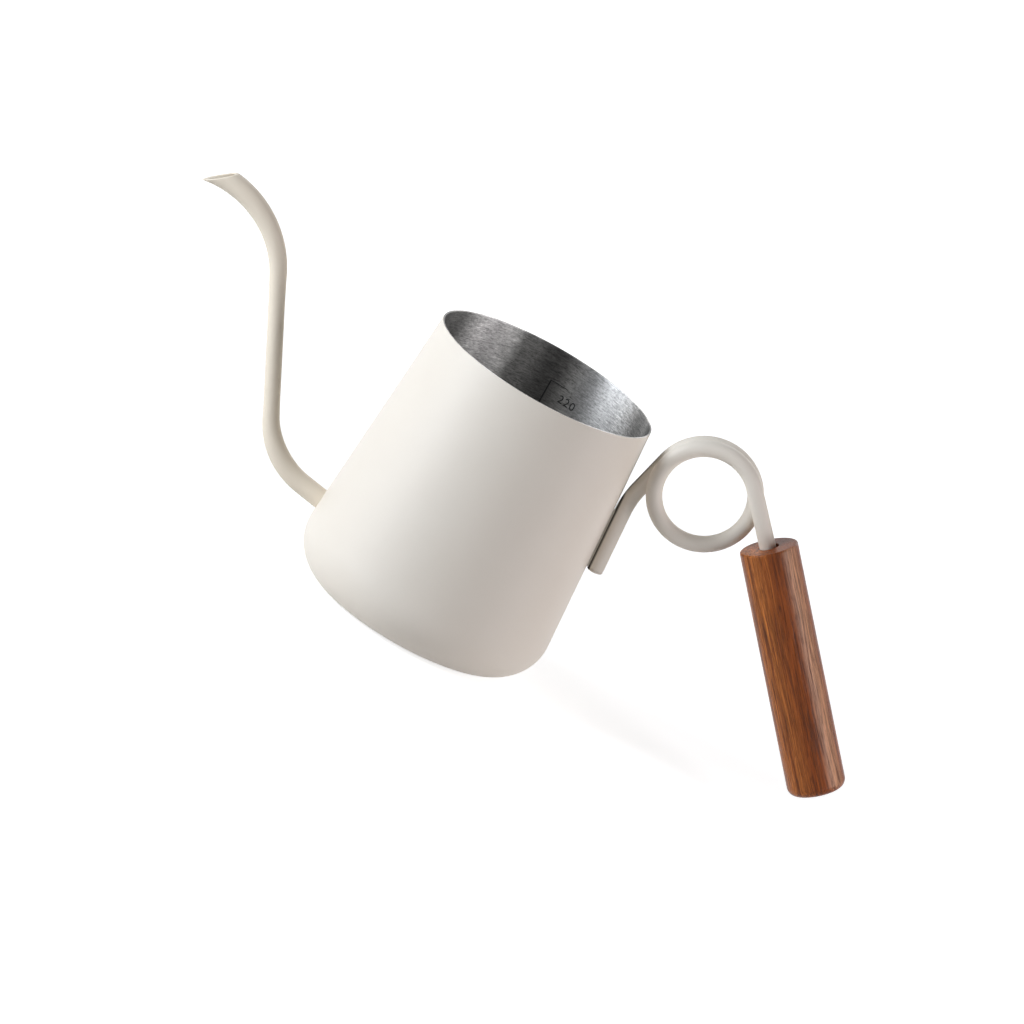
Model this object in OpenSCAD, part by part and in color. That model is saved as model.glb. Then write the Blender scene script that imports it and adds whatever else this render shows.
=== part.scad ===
// Small gooseneck kettle for pour-over coffee: a tapered drawn cup, a thin curved
// spout, a bent rod handle with one coil, and a turned wooden grip.
// It stands upright on z = 0. The spout points to -X and the handle to +X.

/* [Body] */
// Outside diameter at the rim
mouth_d = 61.2; // [50:0.2:80]
// Height from the table to the rim
body_h = 75.9; // [65:0.1:95]
// Lean of the side wall from the vertical, wider at the base, in degrees
wall_lean = 4.03; // [2:0.01:6]
// Outside radius of the corner between the side wall and the base
corner_r = 12.3; // [8:0.1:16]
// Thickness of the steel sheet
sheet = 0.5; // [0.4:0.05:1]

/* [Spout] */
// Height at which the spout's axis starts, just inside the cup
spout_root_h = 17.05; // [14:0.05:24]
// Slope of the spout where it leaves the cup, in degrees above the horizontal
spout_root_slope = 9; // [0:0.5:20]
// Straight length at the root
spout_root_len = 7.4; // [6:0.1:12]
// Radius of the lower bend
spout_low_bend_r = 21.1; // [15:0.1:30]
// Lean of the rising stretch from the vertical, in degrees
spout_lean = 26.1; // [10:0.1:35]
// Length of the rising stretch
spout_rise_len = 37.4; // [30:0.1:50]
// Radius of the upper bend
spout_top_bend_r = 27.1; // [18:0.1:32]
// Slope of the tip below the horizontal at the point of the beak, in degrees
spout_droop = 11.5; // [0:0.5:25]
// Slope of the cut that opens the tip, in degrees
spout_cut_slope = 39; // [30:1:60]
// Outside diameter at the root
spout_root_d = 5.2; // [4.6:0.1:7]
// Outside diameter of the rising stretch
spout_mid_d = 4.3; // [3.8:0.1:5.6]
// Outside diameter at the tip
spout_tip_d = 5.9; // [4.6:0.1:7]
// Wall thickness of the spout tube
spout_wall = 0.4; // [0.3:0.05:0.6]

/* [Handle rod] */
// Diameter of the rod
rod_d = 4.4; // [3.5:0.1:5]
// Height of the rod's lower end
rod_low_h = 36.6; // [30:0.1:42]
// Height at which the rod leaves the wall
rod_leave_h = 54.2; // [48:0.1:60]
// Clear gap between the rod and the wall, filled by the weld
rod_wall_gap = 0.1; // [0.05:0.05:0.2]
// Radius of the gentle bend away from the wall
rod_bend_r = 23.4; // [15:0.1:30]
// Lean of the rising stretch from the vertical, in degrees
rod_lean = 13.7; // [8:0.1:20]
// Length of the straight rising stretch below the coil
rod_rise_len = 11.1; // [8:0.1:14]
// Radius of the coil's centreline
coil_r = 13.05; // [10:0.05:16]
// Clear gap between the coil's two passes
coil_gap = 0.1; // [0.05:0.05:0.5]
// Turn of the coil and grip about the vertical, which brings the grip back in line, in degrees
coil_turn = 6.7; // [0:0.1:10]
// Slope of the rod below the horizontal where it leaves the coil, in degrees
rod_exit_slope = 48.7; // [40:0.1:60]
// Bare length of rod between the coil and the grip
rod_bare_len = 16; // [14:0.1:24]
// Length of rod inside the grip
rod_in_grip = 26; // [20:1:28]

/* [Grip] */
// Diameter of the grip
grip_d = 15.3; // [12:0.1:20]
// Length of the grip
grip_len = 66.5; // [50:0.5:80]
// Slope of the grip beyond the rod's own slope, in degrees
grip_skew = 1.4; // [0:0.1:1.5]
// Diameter of the hole over that of the rod
grip_hole_play = 1; // [1:0.1:1.6]
// Depth of the hole beyond the rod's end
grip_hole_spare = 4; // [2:0.5:10]
// Radius of the edge around the hole end
grip_top_edge_r = 0.5; // [0.3:0.1:1]
// Radius of the edge around the free end
grip_end_edge_r = 2.4; // [1:0.1:4]
// Depth at which the adhesive starts below the grip's top face
adhesive_start = 5; // [3:0.5:8]

/* [Hidden] */

$fn = 96;
tube_sides = 24;             // sides of the swept tubes
arc_step = 4;                // degrees between rings along a bend
coil_step = 5;               // degrees between rings along the coil
fine_sides = 360;            // sides of the rounds that bound the small spout weld
eps = 0.01;                  // overshoot where two faces would coincide
cut_over = 5;                // overshoot of the cutting bars
spout_reach = 0.8;           // length of the spout that stands inside the cup
bead_r = 0.8;                // radius of the weld bead round the spout's end
seam_half_w = 1.1;           // half width of the weld seam along the rod
seam_start = 0.8;            // from the rod's lower end to the seam
seam_stop = 0.5;             // from the seam to the point where the rod leaves the wall
grip_cross = 10;             // depth at which the grip's axis crosses the rod's

coat_color = [0.93, 0.91, 0.87];
steel_color = [0.70, 0.70, 0.70];
wood_color = [0.50, 0.27, 0.15];
adhesive_color = [0.80, 0.74, 0.58];

// Body
mouth_r = mouth_d / 2;
base_flat_r = mouth_r + ((body_h - corner_r) * sin(wall_lean) - corner_r) / cos(wall_lean);

// Outside radius of the side wall at height z
function wall_r(z) = mouth_r + (body_h - z) * tan(wall_lean);

// Point at distance r from the origin along heading a, as [x, z]
function polar(r, a) = [r * cos(a), r * sin(a)];

// Running sum of a list of lengths, starting at 0
function sums(v) = [for (i = 0, s = 0; i <= len(v); s = s + (i < len(v) ? v[i] : 0), i = i + 1) s];

function smooth(t) = let (u = min(1, max(0, t))) u * u * (3 - 2 * u);

// Points of an arc that starts at p with heading a0 and ends with heading a1;
// the turn is left when a1 > a0 and right when a1 < a0. The start is left out.
function arc_points(p, r, a0, a1, step) =
    let (n = ceil(abs(a1 - a0) / step), side = a1 > a0 ? 90 : -90, c = p + polar(r, a0 + side))
    [for (i = [1:n]) c + polar(r, a0 + (a1 - a0) * i / n - side)];

// Spout route in the XZ plane
spout_root_a = 180 - spout_root_slope;
spout_rise_a = 90 + spout_lean;
spout_tip_a = 180 + spout_droop;
spout_start = [-wall_r(spout_root_h) + sheet + spout_reach, spout_root_h];
spout_bend_start = spout_start + polar(spout_root_len, spout_root_a);
spout_low_arc = arc_points(spout_bend_start, spout_low_bend_r, spout_root_a, spout_rise_a, arc_step);
spout_rise_start = spout_low_arc[len(spout_low_arc) - 1];
spout_rise = [for (i = [1:5]) spout_rise_start + polar(spout_rise_len * i / 5, spout_rise_a)];
spout_top_arc = arc_points(spout_rise[4], spout_top_bend_r, spout_rise_a, spout_tip_a, arc_step);
spout_end = spout_top_arc[len(spout_top_arc) - 1];
spout_route = concat([spout_start, spout_bend_start], spout_low_arc, spout_rise, spout_top_arc,
                     [spout_end + polar(1, spout_tip_a)]);
spout_low_len = spout_low_bend_r * (spout_root_a - spout_rise_a) * PI / 180;
spout_beak = spout_end + polar(spout_tip_d / 2, spout_tip_a + 90);

// Outside diameter of the spout at length s along its route
function spout_d(s) =
    let (neck = spout_root_len + 0.35 * spout_low_len, foot = spout_root_len + 1.2 * spout_low_len,
         crown = spout_root_len + spout_low_len + 0.73 * spout_rise_len,
         brow = crown + 1.48 * spout_top_bend_r)
    spout_mid_d + (spout_root_d - spout_mid_d) * (1 - smooth((s - neck) / (foot - neck)))
                + (spout_tip_d - spout_mid_d) * smooth((s - crown) / (brow - crown));

// Rod route: up the wall, away from it, once round the coil and down into the grip
rod_r = rod_d / 2;
rod_offset = (rod_r + rod_wall_gap) / cos(wall_lean);
rod_wall_a = 90 + wall_lean;
rod_rise_a = 90 - rod_lean;
rod_low = [wall_r(rod_low_h) + rod_offset, rod_low_h];
rod_leave = [wall_r(rod_leave_h) + rod_offset, rod_leave_h];
rod_bend = arc_points(rod_leave, rod_bend_r, rod_wall_a, rod_rise_a, 3);
coil_start = rod_bend[len(rod_bend) - 1] + polar(rod_rise_len, rod_rise_a);
coil_pitch = rod_d + coil_gap;
coil_sweep = rod_rise_a + rod_exit_slope + 360;
coil_steps = ceil(coil_sweep / coil_step);
coil_plane = [cos(coil_turn), sin(coil_turn), 0];
coil_side = [sin(coil_turn), -cos(coil_turn), 0];

// Point on the coil after turning through angle a
function coil_point(a) =
    let (q = polar(coil_r, rod_rise_a - 90) + polar(coil_r, rod_rise_a - a + 90))
    [coil_start[0], 0, coil_start[1] + q[1]] + q[0] * coil_plane + coil_pitch * a / 360 * coil_side;

function rod_heading(slope) = cos(slope) * coil_plane - [0, 0, sin(slope)];

coil_end = coil_point(coil_sweep);
rod_dir = rod_heading(rod_exit_slope);
rod_mouth = coil_end + rod_bare_len * rod_dir;
rod_end = rod_mouth + rod_in_grip * rod_dir;
rod_route = concat([[rod_low[0], 0, rod_low[1]], [rod_leave[0], 0, rod_leave[1]]],
                   [for (p = rod_bend) [p[0], 0, p[1]]],
                   [for (i = [0:coil_steps]) coil_point(coil_sweep * i / coil_steps)],
                   [rod_mouth, rod_end]);

// Grip axis, a little steeper than the rod's
grip_dir = rod_heading(rod_exit_slope + grip_skew);
grip_top = rod_mouth + grip_cross * (rod_dir - grip_dir);
grip_hole_d = rod_d + grip_hole_play;
grip_hole_depth = rod_in_grip + grip_hole_spare;

// Ring of points of radius r round p, square to direction t, with side axis b
function ring(p, t, b, r) =
    let (n = cross(b, t) / norm(cross(b, t)), m = cross(t, n) / norm(t))
    [for (k = [0:tube_sides - 1])
        let (a = 360 * k / tube_sides) p + r * cos(a) * n + r * sin(a) * m];

// Direction of a route at point i
function tangent(route, i) =
    let (a = route[max(0, i - 1)], b = route[min(len(route) - 1, i + 1)]) (b - a) / norm(b - a);

// Closed tube along a route, with radius radii[i] at point i and side axis b
module sweep(route, radii, b) {
    n = len(route);
    s = tube_sides;
    points = [for (i = [0:n - 1]) each ring(route[i], tangent(route, i), b, radii[i])];
    sides = [for (i = [0:n - 2], k = [0:s - 1])
        let (k2 = (k + 1) % s) each [[i * s + k, (i + 1) * s + k, i * s + k2],
                                     [i * s + k2, (i + 1) * s + k, (i + 1) * s + k2]]];
    ends = [[for (k = [0:s - 1]) k], [for (k = [s - 1:-1:0]) (n - 1) * s + k]];
    polyhedron(points, concat(sides, ends));
}

// Moves a solid built along +Z to point p and along direction d
module along(p, d) {
    translate(p)
        rotate([0, acos(d[2] / norm(d)), atan2(d[1], d[0])])
            children();
}

// Half profile of the cup, inset by t from its outside and run up past the rim by rise
module cup_profile(t, rise) {
    r = corner_r - t;
    foot = [base_flat_r, corner_r] + polar(r, wall_lean);
    top_z = body_h + rise;
    union() {
        polygon([[0, t], [base_flat_r, t], foot,
                 [wall_r(top_z) - t / cos(wall_lean), top_z], [0, top_z]]);
        intersection() {
            translate([base_flat_r, corner_r]) circle(r);
            translate([base_flat_r - eps, t - eps]) square([r + 2 * eps, corner_r * 1.2]);
        }
    }
}

module cup_solid() { rotate_extrude() cup_profile(0, 0); }

module cup_cavity() { rotate_extrude() cup_profile(sheet, cut_over); }

// Places a solid on the spout's root axis, at length s from the spout's end inside the cup
module on_root(s) {
    a = [cos(spout_root_a), 0, sin(spout_root_a)];
    along([spout_start[0], 0, spout_start[1]] + s * a, a) children();
}

// Round bar through the cup's wall that fills the spout's outside
module root_bar() {
    on_root(-cut_over) cylinder(d = spout_root_d, h = 2 * cut_over);
}

// Drawn cup, open at the top, with the hole that the spout passes through
module body_shell() {
    color(coat_color)
    difference() {
        cup_solid();
        cup_cavity();
        root_bar();
    }
}

// Gooseneck tube, cut to a beak at the tip
module spout_tube() {
    route = [for (p = spout_route) [p[0], 0, p[1]]];
    s = sums([for (i = [1:len(route) - 1]) norm(route[i] - route[i - 1])]);
    radii = [for (i = [0:len(route) - 1]) spout_d(s[i]) / 2];
    inner = [for (i = [0:len(route) - 1])
        route[i] + (i == 0 ? -eps : i == len(route) - 1 ? eps : 0) * tangent(route, i)];
    color(coat_color)
    difference() {
        sweep(route, radii, [0, 1, 0]);
        sweep(inner, [for (r = radii) r - spout_wall], [0, 1, 0]);
        translate([spout_beak[0], 0, spout_beak[1]])
            rotate([0, -spout_cut_slope, 0])
                translate([-20, -10, 0]) cube([40, 20, 20]);
    }
}

// Fillet bead round the spout's end, inside the cup
module spout_weld() {
    color(steel_color)
    difference() {
        intersection() {
            cup_cavity($fn = fine_sides);
            on_root(spout_reach) rotate_extrude() translate([spout_root_d / 2, 0]) circle(bead_r);
        }
        root_bar();
    }
}

// Bent rod: welded stretch, coil and the stretch inside the grip
module handle_rod() {
    color(coat_color)
    sweep(rod_route, [for (p = rod_route) rod_r], [0, 1, 0]);
}

// Weld seam in the narrow gap between the rod and the wall. It has the rod's own flat sides,
// and it meets the wall along the line where the two are closest.
module handle_weld() {
    seam_low = rod_low_h + seam_start;
    seam_len = rod_leave_h - seam_stop - seam_low;
    rod_up = [-sin(wall_lean), 0, cos(wall_lean)];
    color(coat_color)
    // local +X points at the wall
    along([wall_r(seam_low) + rod_offset, 0, seam_low], rod_up)
        difference() {
            translate([0, -seam_half_w, 0]) cube([rod_r + rod_wall_gap, 2 * seam_half_w, seam_len]);
            translate([0, 0, -cut_over])
                cylinder(r = rod_r, h = seam_len + 2 * cut_over, $fn = tube_sides);
        }
}

// Turned grip with a blind hole for the rod
module wood_grip() {
    r = grip_d / 2;
    color(wood_color)
    along(grip_top, grip_dir)
    difference() {
        rotate_extrude() {
            translate([0, grip_top_edge_r]) square([r, grip_len - grip_top_edge_r - grip_end_edge_r]);
            square([r - grip_top_edge_r, grip_len / 2]);
            translate([0, grip_len / 2]) square([r - grip_end_edge_r, grip_len / 2]);
            translate([r - grip_top_edge_r, grip_top_edge_r]) circle(grip_top_edge_r, $fn = 48);
            translate([r - grip_end_edge_r, grip_len - grip_end_edge_r]) circle(grip_end_edge_r);
        }
        translate([0, 0, -cut_over]) cylinder(d = grip_hole_d, h = grip_hole_depth + cut_over);
    }
}

// Cured adhesive that fills the hole round the rod
module grip_adhesive() {
    color(adhesive_color)
    difference() {
        along(grip_top + adhesive_start * grip_dir, grip_dir)
            cylinder(d = grip_hole_d, h = grip_hole_depth - adhesive_start);
        along(rod_mouth, rod_dir) cylinder(r = rod_r, h = rod_in_grip);
    }
}

body_shell();
spout_tube();
spout_weld();
handle_rod();
handle_weld();
wood_grip();
grip_adhesive();
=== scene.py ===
# %% [markdown]
# # A small gooseneck kettle
#
# The kettle is a drawn steel cup with a thin curved spout, a handle bent from one steel rod,
# and a turned wooden grip. Each visible piece below is a surface worked out with numpy: a
# profile turned about an axis, or a circle carried along a path. Lengths are in millimetres
# until a mesh is made, and Blender then gets metres. The kettle stands upright on z = 0 with
# its spout towards -X, and the camera is rolled, so that the picture shows it tipped.

from math import cos, pi, radians, sin, tan

import bpy
import numpy as np
from mathutils import Matrix, Vector


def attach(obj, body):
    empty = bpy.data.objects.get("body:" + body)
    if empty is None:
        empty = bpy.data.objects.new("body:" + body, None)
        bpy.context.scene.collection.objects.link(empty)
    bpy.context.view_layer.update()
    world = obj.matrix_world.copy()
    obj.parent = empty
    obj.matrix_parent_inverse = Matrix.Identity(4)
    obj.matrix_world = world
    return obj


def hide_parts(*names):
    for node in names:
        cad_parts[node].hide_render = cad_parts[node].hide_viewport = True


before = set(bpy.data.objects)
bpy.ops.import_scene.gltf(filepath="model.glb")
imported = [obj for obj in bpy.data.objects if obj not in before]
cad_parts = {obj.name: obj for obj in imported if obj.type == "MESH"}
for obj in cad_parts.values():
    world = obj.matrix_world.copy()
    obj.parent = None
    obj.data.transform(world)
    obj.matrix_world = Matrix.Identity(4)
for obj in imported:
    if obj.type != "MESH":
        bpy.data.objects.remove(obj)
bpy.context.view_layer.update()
MM = 0.001
print("parts:", sorted(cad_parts))

# %% [markdown]
# ## The camera
#
# A product picture of this kind is taken from far away through a long lens, so that the cup's
# two sides look alike. The camera looks along +Y and a little down, and is turned about its own
# line of sight, which tips the kettle in the picture without moving it. It is aimed at a point
# beside the cup, so that the whole kettle sits where it should, with no lens shift.

# %% The camera
LOOK_DOWN = radians(14.35)
ROLL = radians(29.8)
VIEW_WIDTH = 263.2
LENS, SENSOR = 800.0, 36.0
RIM_CENTRE = np.array([0.0, 0.0, 75.9])
RIM_IN_VIEW = np.array([9.13, 35.47])

level_right = np.array([1.0, 0.0, 0.0])
level_up = np.array([0.0, sin(LOOK_DOWN), cos(LOOK_DOWN)])
view_right = cos(ROLL) * level_right + sin(ROLL) * level_up
view_up = cos(ROLL) * level_up - sin(ROLL) * level_right
view_back = np.array([0.0, -cos(LOOK_DOWN), sin(LOOK_DOWN)])
target = RIM_CENTRE - RIM_IN_VIEW[0] * view_right - RIM_IN_VIEW[1] * view_up
distance = VIEW_WIDTH * LENS / SENSOR

camera = bpy.data.objects.new("camera", bpy.data.cameras.new("camera"))
camera.data.lens, camera.data.sensor_width = LENS, SENSOR
camera.data.clip_start, camera.data.clip_end = 0.1, 100.0
pose = np.eye(4)
pose[:3, 0], pose[:3, 1], pose[:3, 2] = view_right, view_up, view_back
pose[:3, 3] = (target + distance * view_back) * MM
camera.matrix_world = Matrix(pose.tolist())
bpy.context.scene.collection.objects.link(camera)
bpy.context.scene.camera = camera
print("camera distance, m:", round(distance * MM, 3))

# %% [markdown]
# ## From a grid of points to a mesh
#
# All surfaces here are grids: row i and column j give one point. Faces join each point to its
# neighbours, and the columns close round into a tube. A flat disc at the end of a tube needs
# one more point in its middle, which is called a pole. These helpers are used by every piece.


# %% Grid and mesh helpers
def grid_faces(rows, columns, first=0):
    """Quads of a grid of points whose columns close round; first is the grid's first index."""
    i, j = np.meshgrid(np.arange(rows - 1), np.arange(columns), indexing="ij")
    k = (j + 1) % columns
    low, high = i * columns, (i + 1) * columns
    return first + np.stack([low + j, low + k, high + k, high + j], -1)


def cap_faces(ring, pole, flip):
    """Triangles from a closed ring of point indices to the pole in its middle."""
    nxt = np.roll(ring, -1)
    pair = (nxt, ring) if flip else (ring, nxt)
    return np.stack([pair[0], pair[1], np.full(len(ring), pole)], -1)


def new_piece(name, points, faces, materials, zones=None):
    """Makes a mesh object from points in mm and a list of face arrays, with smooth shading.

    zones gives each face array's material number. Points that no face uses are dropped.
    """
    flat = [f.reshape(-1, f.shape[-1]) for f in faces]
    used, index = np.unique(np.concatenate([f.ravel() for f in flat]), return_inverse=True)
    lists, at = [], 0
    for f in flat:
        lists += index[at : at + f.size].reshape(f.shape).tolist()
        at += f.size
    mesh = bpy.data.meshes.new(name)
    mesh.from_pydata((np.asarray(points)[used] * MM).tolist(), [], lists)
    mesh.polygons.foreach_set("use_smooth", np.ones(len(lists), bool))
    if zones is not None:
        numbers = np.repeat(zones, [len(f) for f in flat])
        mesh.polygons.foreach_set("material_index", numbers.astype(np.int32))
    for material in materials:
        mesh.materials.append(material)
    mesh.update()
    piece = bpy.data.objects.new(name, mesh)
    bpy.context.scene.collection.objects.link(piece)
    print(name, "points", len(used), "faces", len(lists))
    return piece


def smooth_step(t):
    """3t^2 - 2t^3 between 0 and 1, level at both ends."""
    u = np.clip(t, 0.0, 1.0)
    return u * u * (3 - 2 * u)


# %% [markdown]
# ## Sweeping a circle along a path
#
# A tube is a circle carried along a path. At each point of the path the circle stands square to
# the direction of travel. The side axis stays close to Y all the way, because every path here
# runs close to the kettle's middle plane, so the circles never twist.


# %% Sweep helpers
def unit(v):
    """Each row of v, scaled to length 1."""
    return v / np.linalg.norm(v, axis=-1, keepdims=True)


def circle_axes(path):
    """The two axes of the circle at each point of the path, both square to its direction."""
    along = unit(np.gradient(path, axis=0))
    across = unit(np.cross(np.array([0.0, 1.0, 0.0]), along))
    return across, unit(np.cross(along, across))


def sweep(path, radii, columns):
    """Points of a tube: path point + radius * (cos a * first axis + sin a * second axis)."""
    first, second = circle_axes(path)
    a = np.linspace(0, 2 * pi, columns, endpoint=False)[None, :, None]
    r = np.asarray(radii, float).reshape(-1, 1, 1) * np.ones((len(path), 1, 1))
    return path[:, None] + r * (np.cos(a) * first[:, None] + np.sin(a) * second[:, None])


def bent_line(start, heading, pieces, step):
    """Points in the XZ plane of a line that bends.

    Each piece is (length, turn in degrees). The heading changes evenly along a piece, and the
    points are the running sum of short steps along the heading.
    """
    turns = []
    for length, turn in pieces:
        n = max(2, int(round(length / step)))
        middle = (np.arange(n) + 0.5) / n
        turns.append(np.stack([heading + turn * middle, np.full(n, length / n)]))
        heading += turn
    a, d = np.concatenate(turns, axis=1)
    steps = d[:, None] * np.stack([np.cos(np.radians(a)), np.sin(np.radians(a))], -1)
    points = np.vstack([[0.0, 0.0], np.cumsum(steps, axis=0)]) + np.asarray(start, float)
    return points, heading


# %% [markdown]
# ## Finishes that several pieces share
#
# Two effects come back on more than one piece: the fine ripple of a powder coat, and the grain
# of brushed steel. Each is a shader node group, built once, with named inputs, and placed in a
# material with that material's own values.


# %% Node helpers
def add_node(tree, kind, inputs=None, **settings):
    """Adds a node, sets its settings, and gives its inputs a value or a link."""
    node = tree.nodes.new(kind)
    for key, value in settings.items():
        setattr(node, key, value)
    for key, value in (inputs or {}).items():
        socket = node.inputs[key]
        if isinstance(value, bpy.types.NodeSocket):
            tree.links.new(value, socket)
        else:
            socket.default_value = value
    return node


def maths(tree, operation, a, b=0.0):
    """One Math node's result."""
    return add_node(tree, "ShaderNodeMath", {0: a, 1: b}, operation=operation).outputs[0]


def times(tree, a, b):
    """The product a * b."""
    return maths(tree, "MULTIPLY", a, b)


def plus(tree, a, b):
    """The sum a + b."""
    return maths(tree, "ADD", a, b)


def dot(tree, a, b):
    """The dot product of a place and a direction: how far the place lies that way."""
    node = add_node(tree, "ShaderNodeVectorMath", {0: a, 1: b}, operation="DOT_PRODUCT")
    return node.outputs["Value"]


def length_of(tree, a):
    """The length of a vector: the root of the sum of its squares."""
    return add_node(tree, "ShaderNodeVectorMath", {0: a}, operation="LENGTH").outputs["Value"]


def grey(tree, value):
    """A colour whose three channels are one value."""
    return add_node(tree, "ShaderNodeCombineColor", {0: value, 1: value, 2: value}).outputs[0]


def mix_colour(tree, share, a, b, blend="MIX"):
    """A mix of two colours by a share from 0 to 1."""
    node = add_node(tree, "ShaderNodeMix", data_type="RGBA", blend_type=blend)
    for name, value in (("Factor_Float", share), ("A_Color", a), ("B_Color", b)):
        socket = next(s for s in node.inputs if s.identifier == name)
        if isinstance(value, bpy.types.NodeSocket):
            tree.links.new(value, socket)
        else:
            socket.default_value = value
    return next(s for s in node.outputs if s.identifier == "Result_Color")


def spread(tree, value, low, high, out_low=0.0, out_high=1.0):
    """A value's range low to high, stretched evenly to out_low to out_high and kept inside."""
    node = add_node(
        tree,
        "ShaderNodeMapRange",
        {"Value": value, "From Min": low, "From Max": high, "To Min": out_low, "To Max": out_high},
    )
    return node.outputs["Result"]


def noise(tree, where, scale, detail=2.0, rough=0.5, warp=0.0):
    """Noise between 0 and 1 at a place, with its scale in lumps per unit of that place."""
    node = add_node(
        tree,
        "ShaderNodeTexNoise",
        {"Vector": where, "Scale": scale, "Detail": detail, "Roughness": rough, "Distortion": warp},
    )
    return node.outputs["Fac"]


def in_mm(tree, place=(0, 0, 0), turn=(0, 0, 0)):
    """Object coordinates in millimetres, from a place and turn in the kettle's own frame."""
    where = add_node(tree, "ShaderNodeTexCoord").outputs["Object"]
    values = {"Vector": where, "Location": [p * MM for p in place], "Rotation": turn}
    values["Scale"] = (MM, MM, MM)
    node = add_node(tree, "ShaderNodeMapping", values, vector_type="TEXTURE")
    return node.outputs["Vector"]


def stretched(tree, where, factors):
    """A place, stretched by a factor along each axis."""
    node = add_node(tree, "ShaderNodeVectorMath", {0: where, 1: factors}, operation="MULTIPLY")
    return node.outputs["Vector"]


def new_group(name, inputs, outputs):
    """An empty shader group with named inputs and outputs: {name: (socket type, default)}."""
    group = bpy.data.node_groups.new(name, "ShaderNodeTree")
    for key, (kind, default) in inputs.items():
        socket = group.interface.new_socket(key, in_out="INPUT", socket_type=kind)
        if default is not None:
            socket.default_value = default
    for key, kind in outputs.items():
        group.interface.new_socket(key, in_out="OUTPUT", socket_type=kind)
    return group, group.nodes.new("NodeGroupInput"), group.nodes.new("NodeGroupOutput")


def new_material(name):
    """A material with one empty Principled BSDF: returns the material, its tree and the shader."""
    material = bpy.data.materials.new(name)
    material.use_nodes = True
    return material, material.node_tree, material.node_tree.nodes["Principled BSDF"]


FLOAT, COLOUR, VECTOR = "NodeSocketFloat", "NodeSocketColor", "NodeSocketVector"

# %% [markdown]
# ### Powder coat
#
# The coat is a matte cream powder baked onto the steel. Close up it has a fine ripple, called
# orange peel, and tiny specks where the grains did not quite flow together. Broad, faint drifts
# of tone keep it from looking like plastic. The group gives the ripple's height and the drift.

# %% Powder coat group
coat_group, g_in, g_out = new_group(
    "powder_coat",
    {"Place": (VECTOR, None), "Colour": (COLOUR, (0.8, 0.8, 0.8, 1)), "Peel per mm": (FLOAT, 1.6)},
    {"Colour": COLOUR, "Height": FLOAT, "Roughness": FLOAT},
)
place = g_in.outputs["Place"]
peel = noise(coat_group, place, g_in.outputs["Peel per mm"], 2.0, 0.55)
grit = noise(coat_group, place, 6.5, 1.0, 0.5)
drift = noise(coat_group, place, 0.06, 2.0, 0.5)
speck = spread(coat_group, grit, 0.34, 0.26)
darker = mix_colour(coat_group, 1.0, g_in.outputs["Colour"], (0.93, 0.91, 0.89, 1), "MULTIPLY")
drift_share = spread(coat_group, drift, 0.3, 0.7, 0.0, 0.16)
tone_share = plus(coat_group, drift_share, times(coat_group, speck, 0.3))
speckled = mix_colour(coat_group, tone_share, g_in.outputs["Colour"], darker)
height = plus(coat_group, times(coat_group, peel, 0.75), times(coat_group, grit, 0.25))
coat_group.links.new(speckled, g_out.inputs["Colour"])
coat_group.links.new(height, g_out.inputs["Height"])
coat_group.links.new(spread(coat_group, peel, 0.3, 0.7, 0.42, 0.5), g_out.inputs["Roughness"])

# %% [markdown]
# ### Brushed steel
#
# The inside of the cup is bare steel, brushed round the cup. The brush leaves fine lines that
# run round the wall and cross each other a little. Under a soft light such a wall shows broad
# fans of light and dark that run from the rim to the base, because each line mirrors the light
# only where it faces it. The metal's brushed reflection gives some of them, and the rest are
# painted reflections: fans of light and dark painted into the steel's colour, worked out from the
# angle about the cup's axis. Height plus distance from the axis grows along the wall and the
# base alike, so noise that is squeezed in that direction draws lines that run round the cup on both.

# %% Brushed steel group
steel_group, g_in, g_out = new_group(
    "brushed_steel",
    {"Place": (VECTOR, None), "Colour": (COLOUR, (0.6, 0.6, 0.6, 1)), "Fans": (FLOAT, 1.0)},
    {"Colour": COLOUR, "Height": FLOAT, "Roughness": FLOAT},
)
place = g_in.outputs["Place"]
parts = add_node(steel_group, "ShaderNodeSeparateXYZ", {0: place})
from_axis = length_of(steel_group, stretched(steel_group, place, (1, 1, 0)))
along = plus(steel_group, parts.outputs["Z"], from_axis)
across = {0: parts.outputs["X"], 1: parts.outputs["Y"], 2: along}
brushed = add_node(steel_group, "ShaderNodeCombineXYZ", across).outputs[0]
lines = noise(steel_group, stretched(steel_group, brushed, (0.45, 0.45, 3.2)), 1.0, 4.0, 0.65)
cross = noise(steel_group, stretched(steel_group, brushed, (1.4, 1.4, 2.6)), 1.0, 3.0, 0.6, 0.6)
angle = maths(steel_group, "ARCTAN2", parts.outputs["Y"], parts.outputs["X"])
# Each painted reflection fan: its angle and its half width in degrees, and how much brighter it is.
FAN_BUMPS = (
    (20, 5.5, 0.50), (40, 7, 0.76), (57, 7, 0.33), (76, 5, 0.22), (103, 5, 0.16),
    (112.5, 2.6, 0.28), (118, 4.5, 0.40), (130, 4.5, 0.22), (140, 7, 0.42), (158, 5, 0.18),
    (-20, 9, 0.30), (-52, 10, 0.60), (-84, 8, 0.20), (-118, 12, 0.50), (-150, 8, 0.25),
)
FAN_LEAST, PLAIN_TONE = 0.09, 0.4
BASE_INNER, BASE_OUTER = 12, 27
fan = FAN_LEAST
for centre, width, amount in FAN_BUMPS:
    away = maths(steel_group, "SUBTRACT", angle, radians(centre))
    away = maths(steel_group, "DIVIDE", away, radians(width))
    bump = maths(steel_group, "EXPONENT", times(steel_group, times(steel_group, away, away), -0.5))
    fan = plus(steel_group, fan, times(steel_group, bump, amount))
grain = plus(steel_group, times(steel_group, lines, 0.6), times(steel_group, cross, 0.4))
share = spread(steel_group, from_axis, BASE_INNER, BASE_OUTER)
share = times(steel_group, share, g_in.outputs["Fans"])
plain = times(steel_group, maths(steel_group, "SUBTRACT", 1.0, share), PLAIN_TONE)
fan = plus(steel_group, times(steel_group, fan, share), plain)
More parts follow.
